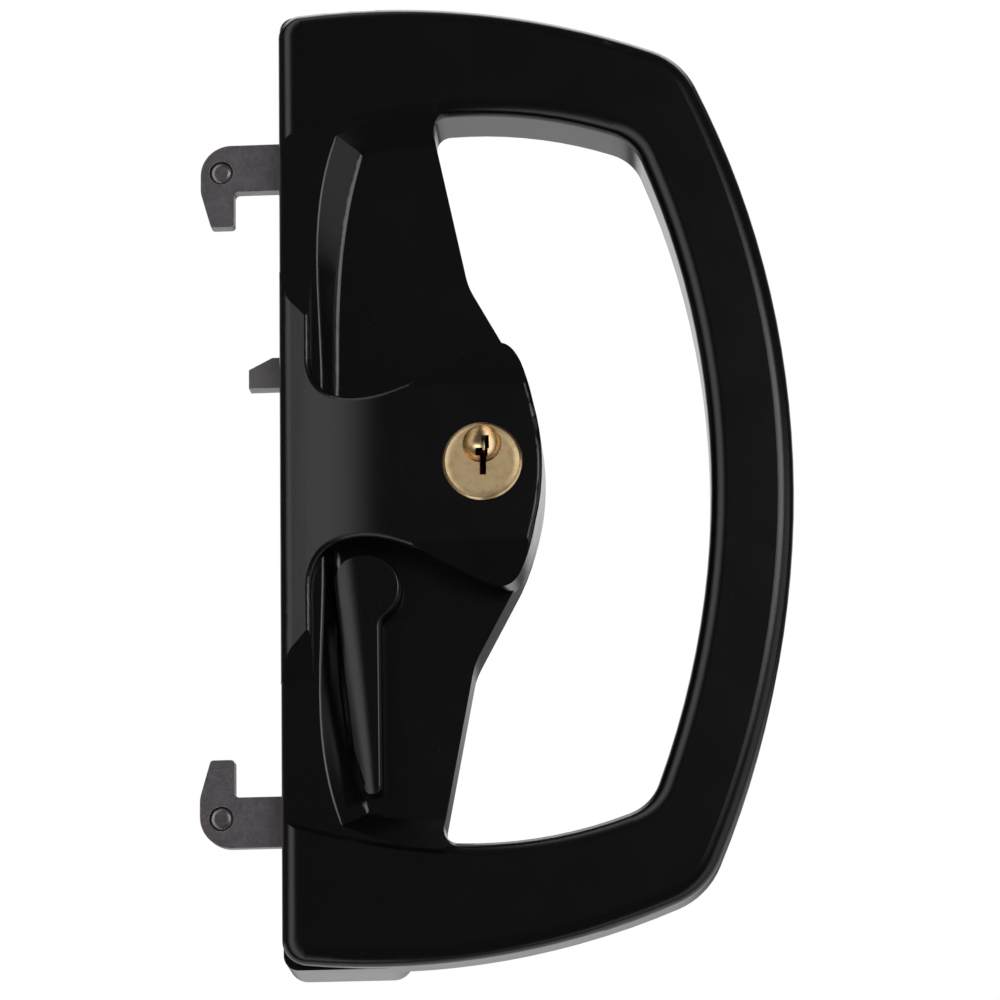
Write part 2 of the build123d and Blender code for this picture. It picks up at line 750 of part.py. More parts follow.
# Upper slide: a bar on the guide pin and a leg to the crank's left pin
with BuildPart() as upper_slide:
    with BuildSketch(at(slide_low)) as slide_face:
        with BuildLine():
            Polyline(
                (bar_left, upper_joint_high),
                (bar_left, bar_top),
                (bar_right, bar_top),
                (bar_right, upper_joint_low),
                (left_leg_right, upper_joint_low),
                (left_leg_right, left_leg_bottom),
                (left_leg_left, left_leg_bottom),
                (left_leg_left, upper_joint_high),
                (bar_left, upper_joint_high),
            )
        make_face()
        fillet(slide_face.vertices(), slide_corner)
        with Locations((lever_x - crank_radius / 2 - crank_dx / 2, lever_z + crank_dz)):
            SlotCenterToCenter(crank_radius - crank_dx, 2 * (crank_pin_radius + slot_gap), mode=Mode.SUBTRACT)
        with Locations((pivot_x + travel / 2 + drive_dx / 2, pivot_z + drive_dz)):
            SlotCenterToCenter(travel - drive_dx, 2 * (drive_pin_radius + slot_gap), mode=Mode.SUBTRACT)
        with Locations((lever_x, guide_z + travel / 2)):
            SlotCenterToCenter(travel, 2 * (guide_radius + slot_gap), rotation=90, mode=Mode.SUBTRACT)
    extrude(amount=slide_thickness)

# Lower slide: a bar on its guide pin and a leg to the crank's right pin, notched for the deadlock bolt
with BuildPart() as lower_slide:
    with BuildSketch(at(slide_low)) as slide_face:
        with BuildLine():
            Polyline(
                (bar_left, lower_joint_high),
                (bar_left, -bar_top),
                (bar_right, -bar_top),
                (bar_right, lower_joint_low),
                (right_foot_x, lower_joint_low),
                (right_foot_x, right_foot_top),
                (right_leg_right, right_foot_top),
                (right_leg_right, right_leg_top),
                (right_leg_left, right_leg_top),
                (right_leg_left, lower_joint_high),
                (bar_left, lower_joint_high),
            )
        make_face()
        fillet(slide_face.vertices(), slide_corner)
        with Locations((lever_x + crank_radius / 2 + crank_dx / 2, lever_z - crank_dz)):
            SlotCenterToCenter(crank_radius - crank_dx, 2 * (crank_pin_radius + slot_gap), mode=Mode.SUBTRACT)
        with Locations((pivot_x + travel / 2 + drive_dx / 2, -pivot_z - drive_dz)):
            SlotCenterToCenter(travel - drive_dx, 2 * (drive_pin_radius + slot_gap), mode=Mode.SUBTRACT)
        with Locations((lever_x, -guide_z - travel / 2)):
            SlotCenterToCenter(travel, 2 * (guide_radius + slot_gap), rotation=90, mode=Mode.SUBTRACT)
        with Locations((right_leg_right, 0), (right_leg_right, -travel)):
            Rectangle(2 * notch_depth, deadlock_height + 2 * notch_gap, mode=Mode.SUBTRACT)
    extrude(amount=slide_thickness)

# Thumb lever: a blade with a rounded rim, its front falling away to the left
with BuildPart() as snib_lever:
    with BuildSketch(at(lever_low)) as lever_face:
        with BuildLine():
            Spline(lever_left, tangents=((0, -1), (0.35, -1)))
            ThreePointArc(lever_left[-1], (lever_tip_x, lever_tip_z), (lever_right_x, lever_tip_z + lever_tip_radius))
            Polyline((lever_right_x, lever_tip_z + lever_tip_radius), (lever_right_x, lever_z), lever_left[0])
        make_face()
        with Locations((lever_x, lever_z)):
            Circle(lever_head_radius)
        neck = lever_face.vertices().filter_by(lambda v: abs(v.X - lever_right_x) < 0.1)
        fillet(neck.sort_by(Axis.Y)[-1], lever_neck_radius)
    extrude(amount=lever_thickness)
    fillet(snib_lever.edges().group_by(Axis.Y)[0], lever_round)
    for section_z, left_x, flat_x in lever_sections:
        with BuildSketch(Plane.XY.offset(section_z)):
            with BuildLine():
                Spline(
                    (left_x, lever_drop - lever_high), (flat_x, -lever_high), tangents=((1, -lever_lean), (1, 0))
                )
                Polyline(
                    (flat_x, -lever_high),
                    (lever_x + 2 * lever_head_radius, -lever_high),
                    (lever_x + 2 * lever_head_radius, -lever_low),
                    (left_x, -lever_low),
                    (left_x, lever_drop - lever_high),
                )
            make_face()
    loft(ruled=True, mode=Mode.INTERSECT)
    # Hub under the blade, with the socket of the spindle
    with BuildSketch(at(pocket_height + washer_thickness)):
        with Locations((lever_x, lever_z)):
            Circle(lever_hub_radius)
    extrude(amount=lever_low - pocket_height - washer_thickness)
    with BuildSketch(at(pocket_height + washer_thickness)):
        with Locations((lever_x, lever_z)):
            Rectangle(spindle_square + 2 * seat_gap, spindle_square + 2 * seat_gap)
    extrude(amount=lever_socket, mode=Mode.SUBTRACT)

with BuildPart() as lever_washer:
    with BuildSketch(at(pocket_height)):
        with Locations((lever_x, lever_z)):
            Circle(washer_radius)
            Circle(spindle_radius + running_gap, mode=Mode.SUBTRACT)
    extrude(amount=washer_thickness)

# Spindle: a round journal with a square at each end, bored for the screw
with BuildPart() as lever_spindle:
    with BuildSketch(at(crank_high)):
        with Locations((lever_x, lever_z)):
            Circle(spindle_radius)
    extrude(amount=pocket_height + washer_thickness - crank_high)
    with BuildSketch(at(crank_low)):
        with Locations((lever_x, lever_z)):
            Rectangle(spindle_square, spindle_square)
    extrude(amount=pocket_height + washer_thickness + lever_socket - crank_low)
    with BuildSketch(at(crank_low)):
        with Locations((lever_x, lever_z)):
            Circle(crank_screw_radius + running_gap)
    extrude(amount=crank_screw_length, mode=Mode.SUBTRACT)

# Crank with an eye at each end, tilted as it stands at rest
with BuildPart() as crank_arm:
    with BuildSketch(at(crank_low)):
        with Locations((lever_x - crank_dx, lever_z + crank_dz), (lever_x + crank_dx, lever_z - crank_dz)):
            Circle(crank_eye_radius)
        with Locations((lever_x, lever_z)):
            Circle(crank_hub_radius)
        make_hull()
        with Locations((lever_x - crank_dx, lever_z + crank_dz), (lever_x + crank_dx, lever_z - crank_dz)):
            Circle(crank_pin_radius, mode=Mode.SUBTRACT)
        with Locations((lever_x, lever_z)):
            Rectangle(spindle_square + 2 * seat_gap, spindle_square + 2 * seat_gap, mode=Mode.SUBTRACT)
    extrude(amount=crank_thickness)

with BuildPart() as crank_pins:
    for low, high, radius in (
        (pin_end, crank_high, crank_pin_radius - seat_gap),
        (crank_low - pin_shoulder, crank_low, crank_eye_radius - layer_gap),
    ):
        with BuildSketch(at(low)):
            with Locations((lever_x - crank_dx, lever_z + crank_dz), (lever_x + crank_dx, lever_z - crank_dz)):
                Circle(radius)
        extrude(amount=high - low)

with BuildPart() as lever_screw:
    with BuildSketch(at(crank_low - crank_screw_head)):
        with Locations((lever_x, lever_z)):
            Circle(crank_screw_head_radius)
    extrude(amount=crank_screw_head)
    fillet(lever_screw.edges().group_by(Axis.Y)[-1], crank_screw_head / 3)
    with BuildSketch(at(crank_low)):
        with Locations((lever_x, lever_z)):
            Circle(crank_screw_radius)
    extrude(amount=crank_screw_length)
    with BuildSketch(at(crank_low - crank_screw_head)):
        with Locations((lever_x, lever_z)):
            Rectangle(drive_slot_length, drive_slot_width)
            Rectangle(drive_slot_width, drive_slot_length)
    extrude(amount=drive_slot_depth, mode=Mode.SUBTRACT)

# Trigger: a hooked nose, a stop behind the window and a tail to the spring
with BuildPart() as trigger:
    with BuildSketch(at(trigger_low)):
        with BuildLine():
            Polyline(
                (trigger_tail_x, trigger_bottom_z),
                (lock_edge_x - trigger_reach, trigger_bottom_z),
                (lock_edge_x - trigger_reach, trigger_nose_z),
                (lock_edge_x - trigger_slope, trigger_top_z),
                (trigger_tail_x, trigger_top_z),
                (trigger_tail_x, trigger_bottom_z),
            )
        make_face()
        with Locations((cavity_left_x, trigger_middle_z)):
            Rectangle(trigger_stop_length, trigger_window_height + 4 * window_end_gap, align=(Align.MIN, Align.CENTER))
    extrude(amount=trigger_thickness)
    with BuildSketch(Plane.YZ.offset(trigger_tail_x)):
        with Locations((-(trigger_low + trigger_high) / 2, trigger_middle_z)):
            Circle(spring_pin_radius)
    extrude(amount=spring_pin_length)

# Trigger spring, wound between the trigger's tail and the rib
with BuildPart() as trigger_spring:
    with BuildLine() as coil:
        Helix(
            pitch=(spring_length - spring_wire) / spring_turns,
            height=spring_length - spring_wire,
            radius=spring_radius,
            center=(trigger_tail_x + spring_wire / 2, -(trigger_low + trigger_high) / 2, trigger_middle_z),
            direction=(1, 0, 0),
        )
    with BuildSketch(Plane(origin=coil.line @ 0, z_dir=coil.line % 0)):
        Circle(spring_wire / 2)
    sweep()


# Cylinder barrel with its row of pin chambers, cover groove and clip groove
with BuildPart() as cylinder_body:
    with BuildSketch(at(barrel_back)):
        with Locations((cylinder_x, 0)):
            Circle(barrel_radius)
            Rectangle(chamber_width, chamber_top, align=(Align.CENTER, Align.MIN))
    extrude(amount=barrel_length)
    with BuildSketch(at(barrel_back)):
        with Locations((cylinder_x, 0)):
            Circle(plug_radius + running_gap)
    extrude(amount=barrel_length, mode=Mode.SUBTRACT)
    with BuildSketch(Plane.XY):
        with Locations(chamber_points):
            Circle(pin_radius + running_gap)
    extrude(amount=chamber_top, mode=Mode.SUBTRACT)
    with BuildSketch(Plane.XY.offset(chamber_top - chamber_cover)):
        with Locations((cylinder_x, -barrel_front + barrel_length / 2)):
            Rectangle(cover_width + 2 * seat_gap, barrel_length)
    extrude(amount=chamber_cover, mode=Mode.SUBTRACT)
    with BuildSketch(at(clip_low)):
        with Locations((cylinder_x, 0)):
            Circle(barrel_radius + cut_over)
            Circle(barrel_radius - clip_groove, mode=Mode.SUBTRACT)
            Rectangle(chamber_width, 2 * chamber_top, align=(Align.CENTER, Align.MIN), mode=Mode.SUBTRACT)
    extrude(amount=clip_thickness + running_gap, mode=Mode.SUBTRACT)

with BuildPart() as chamber_cover_strip:
    with BuildSketch(Plane.XY.offset(chamber_top - chamber_cover)):
        with Locations((cylinder_x, -barrel_front + barrel_length / 2)):
            Rectangle(cover_width, barrel_length)
    extrude(amount=chamber_cover)

# Spring clip in the barrel's groove, behind the case front
with BuildPart() as cylinder_clip:
    with BuildSketch(at(clip_low)) as clip_face:
        with Locations((cylinder_x, 0)):
            Circle(clip_radius)
            Circle(barrel_radius - clip_groove + running_gap, mode=Mode.SUBTRACT)
        with Locations((cylinder_x - clip_opening / 2, 0)):
            Rectangle(2 * clip_radius, 2 * clip_radius, align=(Align.MIN, Align.MIN), mode=Mode.SUBTRACT)
        with Locations((clip_right_x, 0)):
            Rectangle(clip_radius, 2 * clip_radius, align=(Align.MIN, Align.CENTER), mode=Mode.SUBTRACT)
        fillet(clip_face.vertices(), clip_groove / 2)
    extrude(amount=clip_thickness)

# Brass plug: head in the plateau, shank in the barrel, scoop and keyway
with BuildPart() as cylinder_plug:
    with BuildSketch(at(plug_head_low)):
        with Locations((cylinder_x, 0)):
            Circle(plug_head_radius)
    extrude(amount=plug_head_thickness)
    chamfer(cylinder_plug.edges().group_by(Axis.Y)[0], plug_bevel)
    with BuildSketch(at(cam_high)):
        with Locations((cylinder_x, 0)):
            Circle(plug_radius)
    extrude(amount=plug_head_low - cam_high)
    with Locations((cylinder_x, -plug_front - scoop_rise, scoop_z)):
        Sphere(scoop_radius, mode=Mode.SUBTRACT)
    with BuildSketch(at(keyway_end)):
        with BuildLine():
            Polyline([(cylinder_x + x, z) for x, z in keyway_points], close=True)
        make_face()
    extrude(amount=plug_front, mode=Mode.SUBTRACT)
    with BuildSketch(Plane.XY.offset(key_pin_z - seat_gap)):
        with Locations(chamber_points):
            Circle(pin_radius + running_gap)
    extrude(amount=plug_radius, mode=Mode.SUBTRACT)
    with BuildSketch(at(cam_high)):
        with Locations((cylinder_x, 0)):
            Circle(cam_screw_radius)
    extrude(amount=cam_screw_length, mode=Mode.SUBTRACT)

# Pin stacks, held at the shear line so that the plug may turn
with BuildPart() as key_pins:
    with BuildSketch(Plane.XY.offset(key_pin_z)):
        with Locations(chamber_points):
            Circle(pin_radius)
    extrude(amount=shear_z - shear_gap - key_pin_z)
    chamfer(key_pins.edges().group_by(Axis.Z)[0], pin_radius / 2)

with BuildPart() as driver_pins:
    with BuildSketch(Plane.XY.offset(shear_z)):
        with Locations(chamber_points):
            Circle(pin_radius)
    extrude(amount=driver_pin_length)
    chamfer(driver_pins.edges().group_by(Axis.Z)[-1], pin_radius / 4)

with BuildPart() as pin_springs:
    with BuildSketch(Plane.XY.offset(shear_z + driver_pin_length)):
        with Locations(chamber_points):
            Circle(pin_radius - running_gap)
            Circle(pin_radius / 2, mode=Mode.SUBTRACT)
    extrude(amount=chamber_top - chamber_cover - shear_z - driver_pin_length)

# Cam on the plug's back, with the pin that moves the deadlock bolt
with BuildPart() as plug_cam:
    with BuildSketch(at(cam_low)):
        with Locations((cylinder_x, 0)):
            Circle(cam_radius)
    extrude(amount=cam_thickness)
    with BuildSketch(at(pin_end)):
        with Locations((cylinder_x + deadlock_travel / 2, deadlock_travel / 2)):
            Circle(cam_pin_radius)
    extrude(amount=cam_low - pin_end)
    with BuildSketch(at(cam_low)):
        with Locations((cylinder_x, 0)):
            Circle(cam_screw_head_radius + running_gap)
    extrude(amount=cam_screw_head, mode=Mode.SUBTRACT)
    with BuildSketch(at(cam_low)):
        with Locations((cylinder_x, 0)):
            Circle(cam_screw_radius + running_gap)
    extrude(amount=cam_thickness, mode=Mode.SUBTRACT)

with BuildPart() as cam_screw:
    with BuildSketch(at(cam_low)):
        with Locations((cylinder_x, 0)):
            Circle(cam_screw_head_radius)
    extrude(amount=cam_screw_head)
    with BuildSketch(at(cam_low + cam_screw_head)):
        with Locations((cylinder_x, 0)):
            Circle(cam_screw_radius - seat_gap)
    extrude(amount=cam_high + cam_screw_length - cam_low - cam_screw_head)
    with BuildSketch(at(cam_low)):
        with Locations((cylinder_x, 0)):
            Rectangle(2 * cam_screw_head_radius, drive_slot_width / 2)
    extrude(amount=cam_screw_head / 2, mode=Mode.SUBTRACT)

# Deadlock bolt with a yoke round the cam's pin
with BuildPart() as deadlock_bolt:
    with BuildSketch(at(slide_low)) as bolt_face:
        with Locations((deadlock_tip_x, 0)):
            Rectangle(yoke_right - deadlock_tip_x, deadlock_height, align=(Align.MIN, Align.CENTER))
        with Locations((yoke_right, -deadlock_height / 2)):
            Rectangle(deadlock_yoke, yoke_top + deadlock_height / 2, align=(Align.MAX, Align.MIN))
        fillet(bolt_face.vertices(), slide_corner / 2)
        with Locations((cylinder_x + deadlock_travel / 2, (cam_throw + deadlock_travel / 2) / 2)):
            SlotCenterToCenter(
                cam_throw - deadlock_travel / 2, 2 * (cam_pin_radius + slot_gap), rotation=90, mode=Mode.SUBTRACT
            )
    extrude(amount=slide_thickness)

# Channel of the deadlock bolt, on the back plate
with BuildPart() as deadlock_guide:
    with BuildSketch(at(plate_thickness)):
        with Locations((deadlock_tip_x, 0)):
            Rectangle(deadlock_guide_width, guide_height, align=(Align.MIN, Align.CENTER))
    extrude(amount=slide_high + layer_gap - plate_thickness)
    with BuildSketch(at(slide_low - slot_gap)):
        with Locations((deadlock_tip_x, 0)):
            Rectangle(3 * deadlock_guide_width, deadlock_height + 2 * slot_gap, align=(Align.CENTER, Align.CENTER))
    extrude(amount=slide_thickness + cut_over, mode=Mode.SUBTRACT)

pieces = {
    "handle_casting": handle_casting,
    "back_plate": back_plate,
    "back_plate_screws": back_plate_screws,
    "fixing_pillars": fixing_pillars,
    "upper_hook": upper_hook,
    "lower_hook": lower_hook,
    "upper_hook_insert": upper_hook_insert,
    "lower_hook_insert": lower_hook_insert,
    "upper_drive_pin": upper_drive_pin,
    "lower_drive_pin": lower_drive_pin,
    "hook_pivots": hook_pivots,
    "slide_guide_pins": slide_guide_pins,
    "upper_slide": upper_slide,
    "lower_slide": lower_slide,
    "snib_lever": snib_lever,
    "lever_washer": lever_washer,
    "lever_spindle": lever_spindle,
    "crank_arm": crank_arm,
    "crank_pins": crank_pins,
    "lever_screw": lever_screw,
    "trigger": trigger,
    "trigger_spring": trigger_spring,
    "cylinder_body": cylinder_body,
    "chamber_cover": chamber_cover_strip,
    "cylinder_clip": cylinder_clip,
    "cylinder_plug": cylinder_plug,
    "key_pins": key_pins,
    "driver_pins": driver_pins,
    "pin_springs": pin_springs,
    "plug_cam": plug_cam,
    "cam_screw": cam_screw,
    "deadlock_bolt": deadlock_bolt,
    "deadlock_guide": deadlock_guide,
}

os.makedirs("parts", exist_ok=True)
for label, piece in pieces.items():
    piece.part.label = label
    export_step(piece.part, f"parts/{label}.step")
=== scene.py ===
"""Looks of the sliding door lock: finishes for the CAD pieces, studio light, floor and camera.

Lengths are in metres in the CAD's frame: X runs towards the grip, Z up the handle, and the front
looks along -Y.
"""

from math import cos, radians, sin

import bpy
from mathutils import Matrix, Vector


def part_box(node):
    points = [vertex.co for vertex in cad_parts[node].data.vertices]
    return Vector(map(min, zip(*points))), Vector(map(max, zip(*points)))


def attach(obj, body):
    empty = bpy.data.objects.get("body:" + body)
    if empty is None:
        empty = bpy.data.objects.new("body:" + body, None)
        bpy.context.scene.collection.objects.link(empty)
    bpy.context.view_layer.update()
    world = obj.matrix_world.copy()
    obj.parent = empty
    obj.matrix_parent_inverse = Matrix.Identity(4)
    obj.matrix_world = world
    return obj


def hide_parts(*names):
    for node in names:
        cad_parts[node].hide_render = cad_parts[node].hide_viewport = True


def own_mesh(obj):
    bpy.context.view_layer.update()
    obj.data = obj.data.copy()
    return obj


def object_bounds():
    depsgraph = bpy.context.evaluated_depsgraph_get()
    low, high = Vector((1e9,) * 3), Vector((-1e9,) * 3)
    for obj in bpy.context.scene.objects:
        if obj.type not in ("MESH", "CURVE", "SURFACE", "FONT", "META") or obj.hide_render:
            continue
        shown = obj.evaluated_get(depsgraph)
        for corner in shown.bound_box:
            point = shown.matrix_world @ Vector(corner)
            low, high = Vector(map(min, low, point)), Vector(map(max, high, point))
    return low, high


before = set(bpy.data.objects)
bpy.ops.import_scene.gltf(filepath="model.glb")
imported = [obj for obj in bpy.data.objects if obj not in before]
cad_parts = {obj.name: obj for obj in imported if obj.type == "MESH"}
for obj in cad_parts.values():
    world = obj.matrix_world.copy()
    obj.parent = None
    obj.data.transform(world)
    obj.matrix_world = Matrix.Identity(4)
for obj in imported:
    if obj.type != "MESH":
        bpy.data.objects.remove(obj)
cad_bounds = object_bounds()

MM = 0.001

# Camera of the photograph: place, direction and lens
camera_place = Vector((0.0635, -0.6691, -0.1505))
camera_yaw = -0.0458
camera_pitch = 0.2189
camera_roll = -0.0191
camera_lens = 117.73
camera_sensor = 36.0

# Plug, in millimetres: its middle, the radii and drop of its worn rim, the places along Y where
# its cut faces turn smoother and its slot red, and the heights where the red turns to painted shade
plug_middle = (30.8, 0.0, 0.0)
plug_rim = (6.1, 7.6)
plug_rim_drop = 0.3
plug_face = (-30.28, -30.1)
plug_polish = 0.2
slot_depths = (-27.5, -26.8)
slot_shade_heights = (0.4, 1.4)

# Worn ring round each hook's insert, in millimetres
insert_rim = (1.2, 1.9)
insert_rim_drop = 0.16

# Steel rubbed bare along its edges: reach in millimetres, and the cosines of the turn between the
# rounded and the true normal where the wear starts and where it is full
worn_reach = 0.3
worn_turn = (0.99, 0.9)

# Colours
dust_grey = (0.12, 0.115, 0.11)
pit_grey = (0.05, 0.048, 0.045)
worn_steel = (0.62, 0.6, 0.6)
bright_brass = (0.95, 0.72, 0.42)
stained_brass = (0.8, 0.55, 0.28)
slot_red = (0.9, 0.09, 0.12)
# Painted shade: black painted over the upper part of the key slot
slot_painted_shade = (0.01, 0.006, 0.005)

# Floor under the hanging lock: distance below it, and half its width
floor_drop = 0.11
floor_reach = 3.0

# Studio: radiance of each part of the surroundings, and where it rises and falls. Rises, falls,
# bottoms, tops and side_height are in degrees. Edges, overhead_height and under_low are parts of a
# direction.
dark_front = 0.062
left_light = 1.25
left_rise = (15.0, 43.0)
left_fall = (54.0, 82.0)
key_light = 3.9
key_rise = (5.0, 22.0)
key_fall = (33.0, 54.0)
key_bottom = (1.0, 10.0)
key_top = (15.0, 25.0)
side_light = 0.6
side_rise = (45.0, 60.0)
side_fall = (91.0, 98.0)
side_height = (9.0, 19.0)
overhead_light = 3.0
overhead_height = (0.6, 0.8)
overhead_edge = (0.1, 0.35)
back_edge = (0.64, 0.92)
back_bottom = (-17.0, -8.0)
back_top = (2.0, 12.0)
back_horizon = 0.1
under_edge = (0.05, 0.4)
under_light = 0.72
under_low = (-0.12, 0.02)


def shader(name, base, rough, metallic=0.0):
    """New node material and its Principled shader, with constants on the shader's own sockets."""
    material = bpy.data.materials.new(name)
    material.use_nodes = True
    bsdf = material.node_tree.nodes["Principled BSDF"]
    bsdf.inputs["Base Color"].default_value = (*base, 1.0)
    bsdf.inputs["Roughness"].default_value = rough
    bsdf.inputs["Metallic"].default_value = metallic
    bsdf.inputs["IOR"].default_value = 1.5
    return material, bsdf


def node(material, kind, inputs=(), **settings):
    """Adds a node to a material or world, with settings, and values or links for its inputs."""
    made = material.node_tree.nodes.new(kind)
    for key, value in settings.items():
        setattr(made, key, value)
    for key, value in dict(inputs).items():
        if isinstance(value, bpy.types.NodeSocket):
            material.node_tree.links.new(value, made.inputs[key])
        else:
            made.inputs[key].default_value = value
    return made


def link(material, output, target):
    material.node_tree.links.new(output, target)


def vectors(material, operation, first, second=(0.0, 0.0, 0.0)):
    """Adds a node of vector maths, whose outputs are a vector and a value."""
    return node(material, "ShaderNodeVectorMath", {0: first, 1: second}, operation=operation)


def place(material):
    """Coordinates fixed to the piece, in millimetres."""
    coordinates = node(material, "ShaderNodeTexCoord").outputs["Object"]
    return vectors(material, "MULTIPLY", coordinates, (1 / MM, 1 / MM, 1 / MM)).outputs[0]


def stretched(material, vector, scale):
    """Coordinates stretched by an amount along each axis."""
    return node(material, "ShaderNodeMapping", {"Vector": vector, "Scale": scale}).outputs["Vector"]


def noise(material, vector, scale, detail=2.0, roughness=0.5):
    """Noise with a grain of about 1/scale millimetres."""
    inputs = {"Vector": vector, "Scale": scale, "Detail": detail, "Roughness": roughness}
    return node(material, "ShaderNodeTexNoise", inputs).outputs["Fac"]


def ramp(material, value, low, high, at_low=0.0, at_high=1.0):
    """Value mapped smoothly from low..high to at_low..at_high."""
    inputs = {"From Min": low, "From Max": high, "To Min": at_low, "To Max": at_high}
    inputs["Value"] = value
    made = node(material, "ShaderNodeMapRange", inputs, interpolation_type="SMOOTHSTEP")
    return made.outputs["Result"]


def maths(material, operation, first, second=0.0):
    made = node(material, "ShaderNodeMath", {0: first, 1: second}, operation=operation)
    return made.outputs["Value"]


def mixed(material, factor, first, second):
    """Colour between first and second by a factor."""
    made = node(material, "ShaderNodeMix", {"Factor": factor}, data_type="RGBA")
    for socket, value in ((made.inputs[6], first), (made.inputs[7], second)):
        if isinstance(value, bpy.types.NodeSocket):
            link(material, value, socket)
        else:
            socket.default_value = (*value, 1.0)
    return made.outputs[2]


def bump(material, height, distance, below=None):
    """Bump whose full height is a distance in millimetres, on top of another one if given."""
    inputs = {"Height": height, "Distance": distance * MM, "Strength": 1.0}
    if below is not None:
        inputs["Normal"] = below
    return node(material, "ShaderNodeBump", inputs).outputs["Normal"]


def worn_edge(material):
    """Factor that is 1 on sharp edges, where the rounded normal leaves the true one."""
    rounded = node(material, "ShaderNodeBevel", {"Radius": worn_reach * MM}, samples=4)
    true = node(material, "ShaderNodeNewGeometry")
    turn = vectors(material, "DOT_PRODUCT", rounded.outputs["Normal"], true.outputs["Normal"])
    return ramp(material, turn.outputs["Value"], *worn_turn)


def paint(name, base, rough, peel, dust):
    """Satin black powder coat: orange peel, faint cloudy gloss and a little dust."""
    material, bsdf = shader(name, base, rough)
    mm = place(material)
    clouds = noise(material, mm, 0.09, 3.0)
    fine = noise(material, mm, 2.4, 2.0, 0.6)
    gloss = ramp(material, clouds, 0.3, 0.7, rough - 0.012, rough + 0.012)
    link(material, gloss, bsdf.inputs["Roughness"])
    specks = noise(material, mm, 3.1, 1.0)
    amount = ramp(material, specks, 0.73, 0.8, 0.0, dust)
    link(material, mixed(material, amount, base, dust_grey), bsdf.inputs["Base Color"])
    link(material, bump(material, fine, peel), bsdf.inputs["Normal"])
    return material


def rounded_rim(material, mm, middle, radii, drop, below):
    """Bump that lowers a round piece's rim by a distance in millimetres, on top of another one."""
    inner, outer = radii
    from_middle = vectors(material, "SUBTRACT", mm, middle).outputs[0]
    across = vectors(material, "MULTIPLY", from_middle, (1.0, 0.0, 1.0)).outputs[0]
    radius = vectors(material, "LENGTH", across).outputs["Value"]
    slope = maths(material, "DIVIDE", maths(material, "SUBTRACT", radius, inner), outer - inner)
    slope = maths(material, "MINIMUM", maths(material, "MAXIMUM", slope, 0.0), 1.0)
    height = maths(material, "MULTIPLY", maths(material, "POWER", slope, 2.0), -1.0)
    return bump(material, height, drop, below)


def plated(name, base, dark, rough, speck, grain=(1.0, 1.0, 1.0), ring=None):
    """Plated steel: rolling grain, cloudy tone, small dark pits, and a worn ring if given."""
    material, bsdf = shader(name, base, rough, metallic=1.0)
    mm = place(material)
    clouds = noise(material, mm, 0.35, 4.0, 0.6)
    grit = noise(material, stretched(material, mm, grain), 3.0, 3.0, 0.7)
    pits = noise(material, mm, 2.2, 1.0)
    tone = mixed(material, ramp(material, clouds, 0.35, 0.65), base, dark)
    pit = ramp(material, pits, 0.66, 0.74, 0.0, speck)
    tone = mixed(material, pit, tone, pit_grey)
    worn = maths(material, "MULTIPLY", worn_edge(material), ramp(material, grit, 0.2, 0.7))
    link(material, mixed(material, worn, tone, worn_steel), bsdf.inputs["Base Color"])
    gloss = ramp(material, grit, 0.3, 0.7, rough - 0.06, rough + 0.1)
    link(material, gloss, bsdf.inputs["Roughness"])
    normal = bump(material, grit, 0.012)
    if ring is not None:
        normal = rounded_rim(material, mm, ring, insert_rim, insert_rim_drop, normal)
    link(material, normal, bsdf.inputs["Normal"])
    return material


def brass(name, rough, scratch, keyed):
    """Turned brass with scratches and stains; if keyed, a worn rim, smooth cuts and a red slot with
    painted shade (black) over its upper part.
    """
    material, bsdf = shader(name, bright_brass, rough, metallic=1.0)
    mm = place(material)
    lines = noise(material, stretched(material, mm, (0.6, 1.0, 5.0)), 1.6, 3.0, 0.7)
    crossing = noise(material, stretched(material, mm, (5.0, 1.0, 0.8)), 1.4, 2.0, 0.6)
    stain = noise(material, mm, 0.5, 3.0, 0.6)
    colour = mixed(material, ramp(material, stain, 0.4, 0.75), bright_brass, stained_brass)
    gloss = ramp(material, lines, 0.35, 0.7, rough - 0.06, rough + 0.06)
    normal = bump(material, maths(material, "ADD", lines, crossing), scratch)
    if keyed:
        axes = node(material, "ShaderNodeSeparateXYZ", {"Vector": mm})
        depth, height = axes.outputs["Y"], axes.outputs["Z"]
        hollow = ramp(material, depth, *slot_depths)
        # Slot colour by height: red below, black painted shade above
        slot = mixed(material, ramp(material, height, *slot_shade_heights), slot_red, slot_painted_shade)
        colour = mixed(material, hollow, colour, slot)
        link(material, ramp(material, hollow, 0.0, 1.0, 1.0, 0.0), bsdf.inputs["Metallic"])
        polish = ramp(material, depth, *plug_face, 0.0, plug_polish)
        gloss = maths(material, "SUBTRACT", gloss, polish)
        normal = rounded_rim(material, mm, plug_middle, plug_rim, plug_rim_drop, normal)
    link(material, colour, bsdf.inputs["Base Color"])
    link(material, gloss, bsdf.inputs["Roughness"])
    link(material, normal, bsdf.inputs["Normal"])
    return material


# Finishes of the CAD pieces
black_paint = paint("black_powder_coat", (0.003, 0.003, 0.0033), 0.2, 0.012, 0.25)
lever_paint = paint("lever_powder_coat", (0.004, 0.004, 0.0042), 0.17, 0.008, 0.35)
trigger_steel = plated("trigger_zinc_plate", (0.29, 0.268, 0.275), (0.255, 0.236, 0.243), 0.42, 0.1)
hook_steel = plated("hook_zinc_plate", (0.29, 0.262, 0.285), (0.24, 0.218, 0.236), 0.4, 0.15)
insert_steels = {}
for piece in ("upper_hook_insert", "lower_hook_insert"):
    low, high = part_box(piece)
    middle = tuple((low + high) / (2 * MM))
    tones = (0.29, 0.27, 0.28), (0.24, 0.22, 0.235)
    insert_steels[piece] = plated(piece + "_zinc_plate", *tones, 0.34, 0.2, ring=middle)
hard_steel = plated("hard_steel", (0.42, 0.42, 0.42), (0.3, 0.3, 0.3), 0.22, 0.5, (1.0, 4.0, 1.0))
